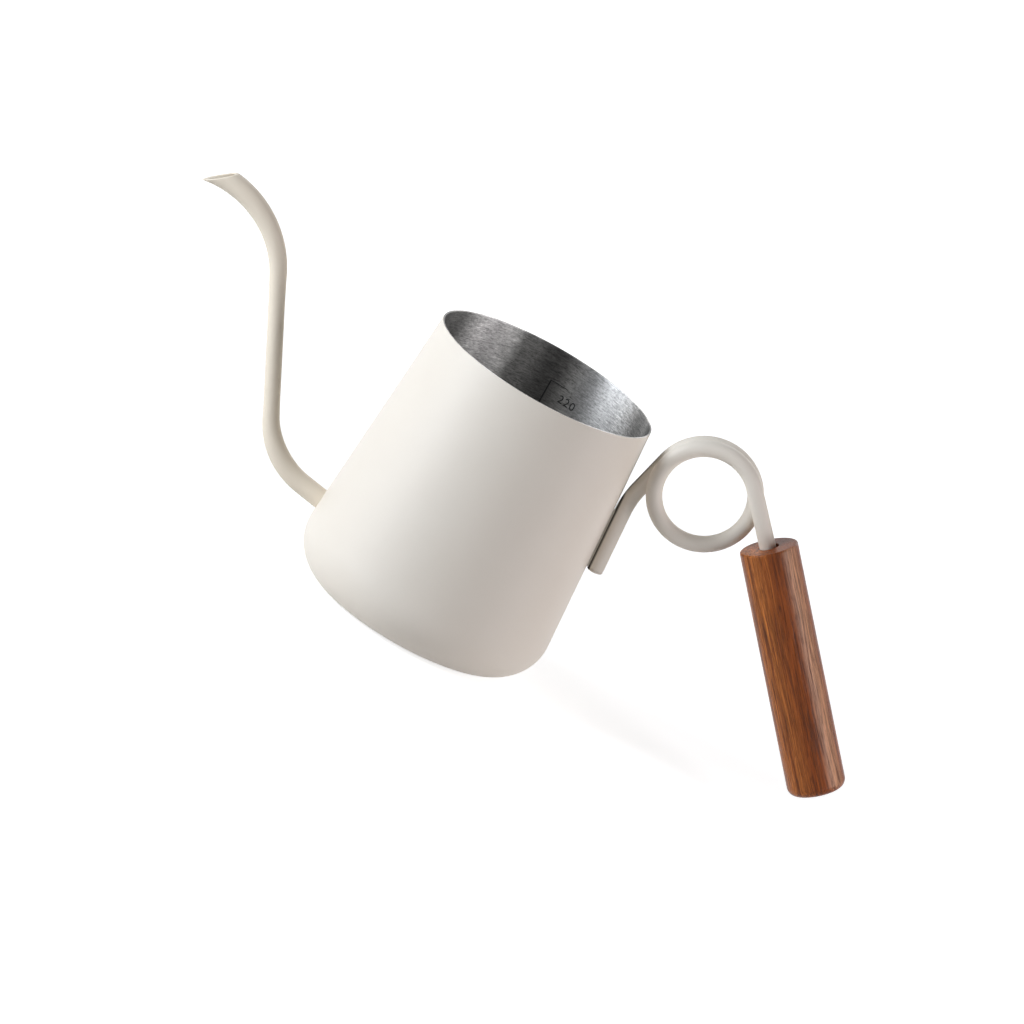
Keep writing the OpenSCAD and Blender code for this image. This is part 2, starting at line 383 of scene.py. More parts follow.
tone = times(steel_group, fan, spread(steel_group, grain, 0.34, 0.66, 0.45, 1.55))
toned = mix_colour(steel_group, 1.0, g_in.outputs["Colour"], grey(steel_group, tone), "MULTIPLY")
steel_group.links.new(toned, g_out.inputs["Colour"])
steel_group.links.new(grain, g_out.inputs["Height"])
steel_group.links.new(spread(steel_group, grain, 0.3, 0.7, 0.42, 0.58), g_out.inputs["Roughness"])


# %% The materials made from the groups
def group_material(name, group, values, bump, **shader):
    """A material whose colour, roughness and bump come from a group, and the rest from shader."""
    material, tree, principled = new_material(name)
    box = add_node(tree, "ShaderNodeGroup", node_tree=group)
    tree.links.new(in_mm(tree), box.inputs["Place"])
    for key, value in values.items():
        box.inputs[key].default_value = value
    ripple = {"Height": box.outputs["Height"], "Strength": bump[0], "Distance": bump[1] * MM}
    relief = add_node(tree, "ShaderNodeBump", ripple)
    tree.links.new(box.outputs["Colour"], principled.inputs["Base Color"])
    tree.links.new(box.outputs["Roughness"], principled.inputs["Roughness"])
    tree.links.new(relief.outputs["Normal"], principled.inputs["Normal"])
    for key, value in shader.items():
        principled.inputs[key.replace("_", " ")].default_value = value
    return material


CREAM = (0.80, 0.735, 0.645, 1)
COAT_GLOSS, COAT_RIPPLE = 0.35, (0.35, 0.05)


def coated(name, colour):
    """A powder coat of one colour; the ripple is its strength and its depth in mm."""
    values = {"Colour": colour}
    return group_material(name, coat_group, values, COAT_RIPPLE, Specular_IOR_Level=COAT_GLOSS)


cream_coat = coated("cream_powder_coat", CREAM)
BARE = {"Colour": (0.965, 0.95, 0.93, 1)}
inner_steel = group_material(
    "brushed_inner_steel", steel_group, BARE, (0.3, 0.03), Metallic=1.0, Anisotropic=0.8
)
tree = inner_steel.node_tree
tree.links.new(in_mm(tree, (0, 0, -30)), tree.nodes["Principled BSDF"].inputs["Tangent"])
BORE = {"Colour": (0.75, 0.75, 0.75, 1), "Fans": 0.0}
bore_steel = group_material("bore_steel", steel_group, BORE, (0.3, 0.03), Metallic=0.45)
WELD = {"Colour": (0.60, 0.59, 0.57, 1), "Fans": 0.3}
weld_steel = group_material("weld_steel", steel_group, WELD, (0.5, 0.05), Metallic=1.0)

# %% [markdown]
# ### Oiled wood
#
# The grip is a red-brown hardwood. Its grain runs along the grip: slow bands of orange and
# brown, dark streaks that start and fade, and short fine pores. A 3D noise that is stretched
# along the grip gives all three, and because it fills space, the end face shows the same bands
# cut across. The coordinates are turned so that their Z runs along the grip. Painted shade makes
# the wood darker towards one side, and a painted sheen puts one paler band along another.

# %% Handle and grip measures
LEAN_DEGREES = 4.03
WALL_LEAN = radians(LEAN_DEGREES)
MOUTH_R, BODY_H, SHEET = 30.6, 75.9, 0.5
ROD_R, ROD_GAP = 2.2, 0.1
ROD_LOW, ROD_LEAVE = 36.6, 54.2
ROD_BEND_R, ROD_LEAN, ROD_RISE = 23.4, 13.7, 11.1
COIL_R, COIL_GAP, COIL_TURN = 13.05, 0.1, radians(6.7)
EXIT_SLOPE, BARE_LEN, IN_GRIP = 48.7, 16.0, 26.0
GRIP_R, GRIP_LEN, GRIP_SKEW, GRIP_CROSS = 7.65, 66.5, 1.4, 10.0
HOLE_R, HOLE_DEPTH = 2.7, 30.0
TOP_EDGE, END_EDGE = 0.5, 2.4


def wall_radius(z):
    """Outside radius of the cup's side wall at height z."""
    return MOUTH_R + (BODY_H - z) * tan(WALL_LEAN)


coil_plane = np.array([cos(COIL_TURN), sin(COIL_TURN), 0.0])
coil_side = np.array([sin(COIL_TURN), -cos(COIL_TURN), 0.0])


def sloping(slope):
    """The direction in the coil's plane that falls at a slope, in degrees."""
    return cos(radians(slope)) * coil_plane - np.array([0.0, 0.0, sin(radians(slope))])


# %% The rod's path
PATH_STEP = 0.35
COIL_STEP = 1.5
rod_offset = (ROD_R + ROD_GAP) / cos(WALL_LEAN)
rod_low = [wall_radius(ROD_LOW) + rod_offset, ROD_LOW]
strap_len = (ROD_LEAVE - ROD_LOW) / cos(WALL_LEAN)
bend_turn = (90 - ROD_LEAN) - (90 + LEAN_DEGREES)
rise, rise_heading = bent_line(
    rod_low,
    90 + LEAN_DEGREES,
    [(strap_len, 0), (ROD_BEND_R * radians(-bend_turn), bend_turn), (ROD_RISE, 0)],
    PATH_STEP,
)
coil_sweep = rise_heading + EXIT_SLOPE + 360
turned = np.linspace(0, coil_sweep, int(coil_sweep / COIL_STEP))[1:]
heading = np.radians(rise_heading - turned + 90)
first = np.radians(rise_heading - 90)
in_plane = COIL_R * (cos(first) + np.cos(heading))
upward = COIL_R * (sin(first) + np.sin(heading))
sideways = (2 * ROD_R + COIL_GAP) * turned / 360
coil = in_plane[:, None] * coil_plane + sideways[:, None] * coil_side
coil[:, 2] += upward
coil += [rise[-1, 0], 0.0, rise[-1, 1]]
rod_dir = sloping(EXIT_SLOPE)
rod_mouth = coil[-1] + BARE_LEN * rod_dir
straight = coil[-1] + np.linspace(0, BARE_LEN + IN_GRIP, 80)[1:, None] * rod_dir
rod_path = np.vstack([np.stack([rise[:, 0], 0 * rise[:, 0], rise[:, 1]], -1), coil, straight])
print("rod length, mm:", round(float(np.linalg.norm(np.diff(rod_path, axis=0), axis=1).sum()), 1))

# %% The grip's own frame
grip_dir = sloping(EXIT_SLOPE + GRIP_SKEW)
grip_top = rod_mouth + GRIP_CROSS * (rod_dir - grip_dir)
grip_side = unit(np.cross(np.array([0.0, 1.0, 0.0]), grip_dir))
grip_frame = np.stack([grip_side, np.cross(grip_dir, grip_side), grip_dir], axis=1)
grip_turn = tuple(Matrix(grip_frame.tolist()).to_euler())
print("grip top, mm:", np.round(grip_top, 2))

# %% Wood
wood, tree, shader = new_material("oiled_wood")
place = in_mm(tree, grip_top, grip_turn)
waver = noise(tree, stretched(tree, place, (0.10, 0.10, 0.022)), 1.0, 2.0, 0.5)
waves = {0: times(tree, waver, 2.5), 1: times(tree, waver, -2.0)}
shift = add_node(tree, "ShaderNodeCombineXYZ", waves)
bent = add_node(tree, "ShaderNodeVectorMath", {0: place, 1: shift.outputs[0]}).outputs["Vector"]
bands = noise(tree, stretched(tree, bent, (0.5, 0.5, 0.012)), 1.0, 4.0, 0.6)
streaks = noise(tree, stretched(tree, bent, (1.3, 1.3, 0.05)), 1.0, 4.0, 0.6)
fibres = noise(tree, stretched(tree, bent, (2.6, 2.6, 0.085)), 1.0, 4.0, 0.7)
pores = noise(tree, stretched(tree, place, (4.5, 4.5, 0.25)), 1.0, 2.0, 0.5)
WOOD_DARK, WOOD_PALE = (0.27, 0.076, 0.019, 1), (0.56, 0.182, 0.043, 1)
base = mix_colour(tree, spread(tree, bands, 0.36, 0.64), WOOD_DARK, WOOD_PALE)
# Painted shade: the wood is darker towards one side of the grip.
side = add_node(tree, "ShaderNodeSeparateXYZ", {0: place}).outputs["X"]
grip_side_shade = times(tree, spread(tree, side, 2.5, -1.0), 0.85)
grip_side_shaded = mix_colour(tree, grip_side_shade, base, (0.21, 0.047, 0.009, 1))
# Painted sheen: a paler band along one side of the grip stands in for a highlight.
SHEEN_AT = radians(53)
toward = (-sin(SHEEN_AT) / GRIP_R, -cos(SHEEN_AT) / GRIP_R, 0.0)
near_sheen = spread(tree, dot(tree, place, toward), 0.885, 0.995)
painted_sheen = times(tree, times(tree, near_sheen, near_sheen), 0.8)
sheen_painted = mix_colour(tree, painted_sheen, grip_side_shaded, (0.59, 0.31, 0.18, 1))
dark = times(tree, spread(tree, streaks, 0.53, 0.61), 0.75)
streaked = mix_colour(tree, dark, sheen_painted, (0.10, 0.027, 0.010, 1))
fibre_tone = spread(tree, fibres, 0.36, 0.64, 0.5, 1.5)
fibred = mix_colour(tree, 1.0, streaked, grey(tree, fibre_tone), "MULTIPLY")
pore_share = times(tree, spread(tree, pores, 0.40, 0.32), 0.6)
pored = mix_colour(tree, pore_share, fibred, (0.045, 0.015, 0.007, 1))
tree.links.new(pored, shader.inputs["Base Color"])
tree.links.new(spread(tree, pores, 0.3, 0.6, 0.42, 0.26), shader.inputs["Roughness"])
shader.inputs["Specular IOR Level"].default_value = 0.16
carved = maths(tree, "SUBTRACT", spread(tree, pores, 0.3, 0.45), dark)
relief = add_node(tree, "ShaderNodeBump", {"Height": carved, "Strength": 0.35, "Distance": 0.06 * MM})
tree.links.new(relief.outputs["Normal"], shader.inputs["Normal"])

# %% [markdown]
# ## The cup
#
# The cup is one sheet: its outside and inside are the same profile, half a millimetre apart. The
# whole skin is one grid, turned about the Z axis: out along the bottom, round the large corner,
# up the side, over the thin rim and back down the inside. Where the spout comes through, the
# square cells of the grid are bent round a circle, and the cells inside it are left out, which
# gives a clean hole with no cutting.

# %% The cup's profile
CORNER_R = 12.3
base_flat_r = MOUTH_R + ((BODY_H - CORNER_R) * sin(WALL_LEAN) - CORNER_R) / cos(WALL_LEAN)
RIM_ROUND = 0.12
HOLE_CELL, FINE_TOP = 0.8, 24.0
COLUMNS = 264
HAIR = 0.02


def cup_half(inset, top):
    """Radius and height from the middle of the base to the rim, inset from the outside.

    A flat, then a quarter of a circle short of the wall's lean, then the straight leaning wall.
    """
    r = CORNER_R - inset
    a = np.linspace(-pi / 2, WALL_LEAN, 25)
    flat = np.linspace(0.6, base_flat_r, 8)[:-1]
    corner = np.stack([base_flat_r + r * np.cos(a), CORNER_R + r * np.sin(a)], -1)
    fine = np.arange(corner[-1, 1] + HOLE_CELL, FINE_TOP, HOLE_CELL)
    z = np.concatenate([fine, np.linspace(FINE_TOP + 1.5, top - 0.9, 21), [top - 0.15, top]])
    wall = np.stack([wall_radius(z) - inset / cos(WALL_LEAN), z], -1)
    return np.vstack([np.stack([flat, np.full(len(flat), inset)], -1), corner, wall])


outside = cup_half(HAIR, BODY_H - RIM_ROUND)
inside = cup_half(SHEET, BODY_H - RIM_ROUND)
turn = np.linspace(0, pi / 2, 5)[1:]
outer_round = outside[-1] + RIM_ROUND * np.stack([np.cos(turn) - 1, np.sin(turn)], -1)
inner_round = inside[-1] + RIM_ROUND * np.stack([1 - np.sin(turn), np.cos(turn)], -1)
profile = np.vstack([outside, outer_round, inner_round, inside[::-1]])
print("cup profile points:", len(profile), "height:", profile[:, 1].max())

# %% Bend the grid round the spout's hole
SPOUT_ROOT_H, SPOUT_ROOT_SLOPE = 17.05, 9.0
SPOUT_REACH = 0.8
HOLE_CELLS, HOLE_FADE = 3, 3
HOLE_LEVEL = 17.2
root_start = np.array([-wall_radius(SPOUT_ROOT_H) + SHEET + SPOUT_REACH, SPOUT_ROOT_H])


def bend_round_hole(angle, z, centre_z):
    """Moves grid points so that the square of 3 cells round the hole becomes a circle.

    The distance from the hole in cells is the larger of its two offsets. Close to the hole a
    point goes to that distance along its own direction, and further away it stays put.
    """
    across = (angle - pi) * wall_radius(centre_z) / HOLE_CELL
    up = (z - centre_z) / HOLE_CELL
    ring = np.maximum(np.abs(across), np.abs(up))
    stretch = ring / np.maximum(np.hypot(across, up), 1e-9)
    keep = smooth_step((ring - HOLE_CELLS) / HOLE_FADE)
    factor = stretch * (1 - keep) + keep
    return pi + across * factor * HOLE_CELL / wall_radius(centre_z), centre_z + up * factor * HOLE_CELL


def hole_row(half_profile):
    """Index of the wall's row nearest the hole's height; rows on the flat base are left out."""
    on_base = half_profile[:, 0] < base_flat_r
    return int(np.argmin(np.abs(half_profile[:, 1] - HOLE_LEVEL) + 100 * on_base))


rows = len(profile)
theta = np.linspace(0, 2 * pi, COLUMNS, endpoint=False)
angle = np.repeat(theta[None], rows, 0)
radius = np.repeat(profile[:, :1], COLUMNS, 1)
level = np.repeat(profile[:, 1:], COLUMNS, 1)
half = len(outside)
for block, inset in ((slice(0, half), HAIR), (slice(rows - half, rows), SHEET)):
    centre_z = profile[block][hole_row(profile[block]), 1]
    wall_foot = CORNER_R + (CORNER_R - inset) * sin(WALL_LEAN)
    straight_wall = level[block] > wall_foot + 1e-6
    a, z = bend_round_hole(angle[block], level[block], centre_z)
    angle[block] = np.where(straight_wall, a, angle[block])
    level[block] = np.where(straight_wall, z, level[block])
    on_wall = wall_radius(level[block]) - inset / cos(WALL_LEAN)
    radius[block] = np.where(straight_wall, on_wall, radius[block])
    print("hole centre height:", round(float(centre_z), 2))
cup_points = np.stack([radius * np.cos(angle), radius * np.sin(angle), level], -1).reshape(-1, 3)

# %% Leave out the cells in the hole and close its edge
quads = grid_faces(rows, COLUMNS)
column = (np.arange(COLUMNS) + 0.5 - COLUMNS / 2)[None]
near_column = np.abs(column) < HOLE_CELLS
outer_row, inner_row = hole_row(outside), rows - 1 - hole_row(inside)
row = (np.arange(rows - 1) + 0.5)[:, None]
open_outer = (np.abs(row - outer_row) < HOLE_CELLS) & near_column
open_inner = (np.abs(row - inner_row) < HOLE_CELLS) & near_column
kept = ~(open_outer | open_inner)
skin = quads[kept]
row_of_face = np.repeat(np.arange(rows - 1)[:, None], COLUMNS, 1)[kept]


def hole_loop(centre_row, direction):
    """Indices round the hole's square edge; direction turns the rows over for the inside."""
    k = HOLE_CELLS
    side = np.arange(-k, k)
    i = np.concatenate([np.full(2 * k, -k), side, np.full(2 * k, k), -side])
    j = np.concatenate([side, np.full(2 * k, k), -side, np.full(2 * k, -k)])
    return (centre_row + direction * i) * COLUMNS + COLUMNS // 2 + j


outer_loop, inner_loop = hole_loop(outer_row, 1), hole_loop(inner_row, -1)
hole_wall = np.stack([outer_loop, np.roll(outer_loop, -1), np.roll(inner_loop, -1), inner_loop], -1)
poles = np.array([[0.0, 0.0, HAIR], [0.0, 0.0, SHEET]])
cup_points = np.vstack([cup_points, poles])
under = cap_faces(np.arange(COLUMNS), rows * COLUMNS, True)
floor_disc = cap_faces((rows - 1) * COLUMNS + np.arange(COLUMNS), rows * COLUMNS + 1, False)
rim_row = half + 2
cup = new_piece(
    "cup",
    cup_points,
    [skin[row_of_face < rim_row], skin[row_of_face >= rim_row], hole_wall, under, floor_disc],
    [cream_coat, inner_steel],
    [0, 1, 1, 0, 1],
)

# %% [markdown]
# ## The spout
#
# The gooseneck is a thin tube, bent twice in one plane. It is thickest at the cup, narrows in
# the lower bend and opens again towards the tip. The tip is cut at a slant, which leaves a
# beak that pours a thin stream. Each line along the tube simply stops where it meets the
# slanted plane, so the cut is exact, and a small half circle joins the outer and inner skins.
# The coat gathers where the tube is cut, so the lip there is a little thicker.

# %% The spout's path and widths
LOW_BEND_R, SPOUT_LEAN, SPOUT_RISE, TOP_BEND_R = 21.1, 26.1, 37.4, 27.1
SPOUT_ROOT_LEN, SPOUT_DROOP, CUT_SLOPE = 7.4, 11.5, radians(39)
ROOT_D, MID_D, TIP_D, TUBE_WALL = 5.5, 4.35, 5.9, 0.4
PAST_CUT, SPOUT_STEP = 1.5, 0.4
low_turn = -(90 - SPOUT_LEAN - SPOUT_ROOT_SLOPE)
top_turn = 90 - SPOUT_LEAN + SPOUT_DROOP
low_len, top_len = LOW_BEND_R * radians(-low_turn), TOP_BEND_R * radians(top_turn)
spout_line, tip_heading = bent_line(
    root_start,
    180 - SPOUT_ROOT_SLOPE,
    [(SPOUT_ROOT_LEN, 0), (low_len, low_turn), (SPOUT_RISE, 0), (top_len, top_turn), (PAST_CUT, 0)],
    SPOUT_STEP,
)
spout_path = np.stack([spout_line[:, 0], 0 * spout_line[:, 0], spout_line[:, 1]], -1)
spout_s = np.concatenate([[0], np.cumsum(np.linalg.norm(np.diff(spout_path, axis=0), axis=1))])


def spout_radius(s):
    """Outer radius at length s: wide at the root, narrow in the middle, wider at the tip."""
    neck, foot = SPOUT_ROOT_LEN + 0.35 * low_len, SPOUT_ROOT_LEN + 1.2 * low_len
    crown = SPOUT_ROOT_LEN + low_len + 0.73 * SPOUT_RISE
    brow = crown + 1.48 * TOP_BEND_R
    narrow = (ROOT_D - MID_D) * (1 - smooth_step((s - neck) / (foot - neck)))
    return 0.5 * (MID_D + narrow + (TIP_D - MID_D) * smooth_step((s - crown) / (brow - crown)))


# %% Cut the tube at the slant
TUBE_COLUMNS = 64
COATED_BORE_ROWS = 20
LIP_BACK, LIP_LENGTH, LIP_THICKER = 0.05, 15.0, 0.5
LIP_OUT, LIP_MOST = 0.6, 0.4
end_s = spout_s[-1] - PAST_CUT
tip_normal = np.array([-sin(radians(tip_heading)), 0.0, cos(radians(tip_heading))])
end_point = np.array([np.interp(end_s, spout_s, spout_path[:, k]) for k in range(3)])
beak = end_point + 0.5 * TIP_D * tip_normal
cut_normal = np.array([-sin(CUT_SLOPE), 0.0, cos(CUT_SLOPE)])


def cut_tube(inset, thicker):
    """A skin of the tube whose every line stops on the cut.

    The inset grows by the thicker amount over the last LIP_LENGTH, where the coat gathers.

    For each line along the tube, the height of its points over the cut plane is found, and the
    line's length is read off where that height first passes zero.
    """
    near_end = (spout_s - spout_s[-1] + LIP_LENGTH) / (0.6 * LIP_LENGTH)
    grown = inset + thicker * smooth_step(near_end)
    skin = sweep(spout_path, spout_radius(spout_s) - grown, TUBE_COLUMNS)
    over = (skin - beak) @ cut_normal + LIP_BACK
    last = np.argmax(over > 0, axis=0)
    cols = np.arange(TUBE_COLUMNS)
    low, high = over[last - 1, cols], over[last, cols]
    stop = last - 1 + low / (low - high)
    share = np.linspace(0, 1, len(spout_path))[:, None] * stop[None]
    floor_row = np.minimum(share.astype(int), len(spout_path) - 2)
    part = (share - floor_row)[..., None]
    return skin[floor_row, cols] * (1 - part) + skin[floor_row + 1, cols] * part


outer_skin, inner_skin = cut_tube(HAIR, 0.0), cut_tube(TUBE_WALL, LIP_THICKER)
lip_turn = np.linspace(0, pi, 7)[1:-1, None, None]
lip_middle = (outer_skin[-1] + inner_skin[-1]) / 2
lip_half = (outer_skin[-1] - inner_skin[-1]) / 2
lip_reach = np.minimum(np.linalg.norm(lip_half, axis=-1, keepdims=True), LIP_MOST)
lip_out = unit(outer_skin[-1] - outer_skin[-2]) * lip_reach
lip = lip_middle + lip_half * np.cos(lip_turn) + LIP_OUT * lip_out * np.sin(lip_turn)
tube = np.concatenate([outer_skin, lip, inner_skin[::-1], outer_skin[:1]])
tube_rows = len(tube)
tube_quads = grid_faces(tube_rows, TUBE_COLUMNS)
coated_rows = len(outer_skin) + len(lip) + COATED_BORE_ROWS
spout_coat = coated("cream_spout_coat", (0.84, 0.745, 0.61, 1))
spout = new_piece(
    "spout",
    tube.reshape(-1, 3),
    [tube_quads[:coated_rows], tube_quads[coated_rows:]],
    [spout_coat, bore_steel],
    [0, 1],
)

# %% [markdown]
# ## The handle rod
#
# One rod makes the whole handle. It is welded up the wall, leans away, goes once round the coil
# and runs straight into the grip. The second pass of the coil lies beside the first, so the rod
# steps to one side as it turns. Its cut end has a small rounding, and the coat covers it. Its
# coat is a paler copy of the cream, painted lighter in place of light. Shade is painted into the
# coat's colour too: darker in the narrow gap at the wall, and in a line that goes on up the free
# stretch on the side that faces the cup.

# %% The coat on the rod, painted paler, with painted shade in the gap at the wall
# The rod's coat is a paler copy of the cream, painted lighter in place of light.
rod_coat = coated("rod_coat_painted_light_and_shade", (0.845, 0.78, 0.685, 1))
tree = rod_coat.node_tree
shader = tree.nodes["Principled BSDF"]
place = in_mm(tree)
level = add_node(tree, "ShaderNodeSeparateXYZ", {0: place}).outputs["Z"]
out_from_axis = length_of(tree, stretched(tree, place, (1, 1, 0)))
upright = plus(tree, out_from_axis, times(tree, level, tan(WALL_LEAN)))
off_wall = maths(tree, "SUBTRACT", upright, wall_radius(0))
# Painted shade in the narrow gap where the rod lies on the wall.
crevice_shade = times(tree, spread(tree, off_wall, 1.18, 0.78), spread(tree, off_wall, 0.32, 0.46))
crevice_shade = times(tree, crevice_shade, spread(tree, level, ROD_LEAVE + 6.5, ROD_LEAVE + 3.5))
# Painted shade in a line along the free stretch, on the side that faces the cup.
rise_a = radians(rise_heading)
from_end = in_mm(tree, (rise[-1, 0], 0, rise[-1, 1]))
to_cup = dot(tree, from_end, (-sin(rise_a), 0, cos(rise_a)))
up_rise = dot(tree, from_end, (cos(rise_a), 0, sin(rise_a)))
facing_cup = spread(tree, to_cup, ROD_R - 0.5, ROD_R - 0.2)
rod_side_shade = times(tree, facing_cup, spread(tree, up_rise, 0.5, -1.5))
begun = spread(tree, up_rise, -ROD_RISE - 3.0, -ROD_RISE - 1.5, 0.0, 0.6)
rod_side_shade = times(tree, rod_side_shade, begun)
crevice_shade = maths(tree, "MAXIMUM", crevice_shade, rod_side_shade)
# The painted shade darkens the coat's colour towards near black.
coat_colour = shader.inputs["Base Color"].links[0].from_socket
shade_painted_coat = mix_colour(tree, crevice_shade, coat_colour, (0.075, 0.072, 0.06, 1))
tree.links.new(shade_painted_coat, shader.inputs["Base Color"])

# %% The rod
ROD_COLUMNS, ROD_ROWS, END_ROUND = 40, 520, 0.55
even = np.linspace(0, 1, ROD_ROWS)
run = np.concatenate([[0], np.cumsum(np.linalg.norm(np.diff(rod_path, axis=0), axis=1))])
rod_line = np.stack([np.interp(even * run[-1], run, rod_path[:, k]) for k in range(3)], -1)
round_a = np.linspace(0, pi / 2, 7)
end_back = END_ROUND * (1 - np.sin(round_a))[:, None]
start_dir = unit(rod_line[1] - rod_line[0])
rod_skin = ROD_R - HAIR
rod_rows = sweep(rod_line, np.full(len(rod_line), rod_skin), ROD_COLUMNS)
ring = (rod_rows[0] - rod_line[0]) / rod_skin
end_radius = (rod_skin - END_ROUND * (1 - np.cos(round_a)))[:, None, None]
low_rings = rod_line[0] + end_back[:, :, None] * start_dir + end_radius * ring
rod_points = np.concatenate([low_rings, rod_rows[3:]]).reshape(-1, 3)
count = len(low_rings) + len(rod_rows) - 3
rod_poles = np.stack([rod_line[0], rod_line[-1]])
rod = new_piece(
    "handle_rod_bent",
    np.vstack([rod_points, rod_poles]),
    [
        grid_faces(count, ROD_COLUMNS),
        cap_faces(np.arange(ROD_COLUMNS), count * ROD_COLUMNS, True),
        cap_faces((count - 1) * ROD_COLUMNS + np.arange(ROD_COLUMNS), count * ROD_COLUMNS + 1, False),
    ],
    [rod_coat],
)

# %% [markdown]
# ## The grip
#
# The grip is turned on a lathe, so it is a profile carried round its own axis: up the blind
# hole, over the small edge at the top, down the side and round the softer free end. The points
# are worked out upright and then laid along the grip's axis.

# %% The grip
GRIP_COLUMNS = 96
HOLE_ROUND = 0.15


def quarter(centre, r, start, count=8):
    """A quarter circle of radius r about a centre (radius, height), from a start angle."""
    a = start + np.linspace(0, pi / 2, count)
    return np.asarray(centre) + r * np.stack([np.cos(a), np.sin(a)], -1)


hole_line = np.stack([np.full(6, HOLE_R), np.linspace(HOLE_DEPTH, HOLE_ROUND, 6)], -1)
top_edge = quarter((GRIP_R - TOP_EDGE, TOP_EDGE), TOP_EDGE, -pi / 2)
side_end = GRIP_LEN - END_EDGE
side_z = np.concatenate([[0.7], np.linspace(1.5, side_end - 1.0, 40), [side_end - 0.25]])
side_line = np.stack([np.full(len(side_z), GRIP_R), side_z], -1)
end_edge = quarter((GRIP_R - END_EDGE, GRIP_LEN - END_EDGE), END_EDGE, 0.0, 14)
flat_edge = GRIP_R - END_EDGE
flat_r = np.concatenate([[flat_edge - 0.2], np.linspace(flat_edge - 0.9, 0.5, 6)])
flat_end = np.stack([flat_r, np.full(len(flat_r), GRIP_LEN)], -1)
hole_edge = quarter((HOLE_R + HOLE_ROUND, HOLE_ROUND), HOLE_ROUND, pi, 4)[1:]
top_flat = [[3.1, 0.0], [5.0, 0.0], [6.9, 0.0]]
lathe = np.vstack([hole_line, hole_edge, top_flat, top_edge, side_line, end_edge, flat_end])
spin = np.linspace(0, 2 * pi, GRIP_COLUMNS, endpoint=False)
lathe_z = np.repeat(lathe[:, 1:], GRIP_COLUMNS, 1)
local = np.stack([lathe[:, :1] * np.cos(spin), lathe[:, :1] * np.sin(spin), lathe_z], -1)
grip_poles = np.array([[0.0, 0.0, HOLE_DEPTH], [0.0, 0.0, GRIP_LEN]])
grip_points = np.vstack([local.reshape(-1, 3), grip_poles]) @ grip_frame.T + grip_top
rings = len(lathe)
grip = new_piece(
    "grip",
    grip_points,
    [
        grid_faces(rings, GRIP_COLUMNS),
        cap_faces(np.arange(GRIP_COLUMNS), rings * GRIP_COLUMNS, True),
        cap_faces((rings - 1) * GRIP_COLUMNS + np.arange(GRIP_COLUMNS), rings * GRIP_COLUMNS + 1, False),
    ],
    [wood],
)

# %% [markdown]
# ## The graduation
#
# Inside the cup, on the wall that faces the viewer, a laser has drawn a plain scale: an upright
# line, one short tick at its top, and a number. The strokes are thin closed bars and the number
# is extruded. Both are laid on the round wall by turning across into angle, and reach a little
# way into it.

# %% The graduation
TICK_DEPTH, LINE_LEN, LINE_W = 8.45, 14.0, 0.36
TICK_LEN, TICK_W = 5.2, 0.17
STROKE_OUT, STROKE_IN = 0.02, -0.05
SCALE_AT = radians(87.1)
NUMBER, NUMBER_SIZE, NUMBER_SPACING, NUMBER_AT = "220", 3.15, 1.13, (3.92, -3.36)


def laid_on_wall(points):
    """Points (across, up from the tick, out of the wall) moved to the inside of the round wall."""
    z = BODY_H - TICK_DEPTH + points[:, 1]
    r = wall_radius(z) - SHEET / cos(WALL_LEAN)
    a = SCALE_AT - points[:, 0] / r
    r = r - points[:, 2]
    return np.stack([r * np.cos(a), r * np.sin(a), z], -1)


def stroke(x0, x1, y0, y1):
    """A thin closed bar, split across into steps of about 0.5 mm: its points and its quads."""
    n = max(2, int(abs(x1 - x0) / 0.5) + 1)
    ring = np.array([[y0, STROKE_IN], [y0, STROKE_OUT], [y1, STROKE_OUT], [y1, STROKE_IN]])
    x = np.repeat(np.linspace(x0, x1, n), 4)
    ends = np.array([[3, 2, 1, 0], [4 * n - 4, 4 * n - 3, 4 * n - 2, 4 * n - 1]])
    sides = grid_faces(n, 4).reshape(-1, 4)
    return np.column_stack([x, np.tile(ring, (n, 1))]), np.vstack([sides, ends])


mark, tree, shader = new_material("etched_mark")
place = in_mm(tree)
etch = noise(tree, place, 5.0, 2.0, 0.6)
etched = mix_colour(tree, etch, (0.02, 0.02, 0.02, 1), (0.045, 0.045, 0.045, 1))
tree.links.new(etched, shader.inputs["Base Color"])
tree.links.new(spread(tree, etch, 0.3, 0.7, 0.5, 0.7), shader.inputs["Roughness"])
shader.inputs["Specular IOR Level"].default_value = 0.1

text = bpy.data.curves.new("volume", "FONT")
text.body, text.size, text.space_character = NUMBER, NUMBER_SIZE, NUMBER_SPACING
text.align_x, text.align_y = "LEFT", "CENTER"
text.extrude = (STROKE_OUT - STROKE_IN) / 2
holder = bpy.data.objects.new("volume", text)
bpy.context.scene.collection.objects.link(holder)
bpy.context.view_layer.update()
letters = bpy.data.meshes.new_from_object(holder)
bpy.data.objects.remove(holder)
letters.calc_loop_triangles()
co = np.empty(len(letters.vertices) * 3)
letters.vertices.foreach_get("co", co)
triangles = np.empty(len(letters.loop_triangles) * 3, np.int32)
letters.loop_triangles.foreach_get("vertices", triangles)
points = [co.reshape(-1, 3) + [*NUMBER_AT, (STROKE_OUT + STROKE_IN) / 2]]
faces = [triangles.reshape(-1, 3)]
for sides in ((-LINE_W / 2, LINE_W / 2, -LINE_LEN, 0.0), (LINE_W / 2, TICK_LEN, -TICK_W, 0.0)):
    bar_points, bar_faces = stroke(*sides)
    faces.append(bar_faces + sum(len(p) for p in points))
    points.append(bar_points)
graduation = new_piece("graduation", laid_on_wall(np.vstack(points)), faces, [mark])
flats = graduation.data.polygons
flats.foreach_set("use_smooth", np.zeros(len(flats), bool))

# %% [markdown]
# ## The hidden pieces
#
# The bead inside the cup, the seam behind the rod and the glue in the grip keep the packed
# shapes. They only get a finish, which is put into each one's material slots.

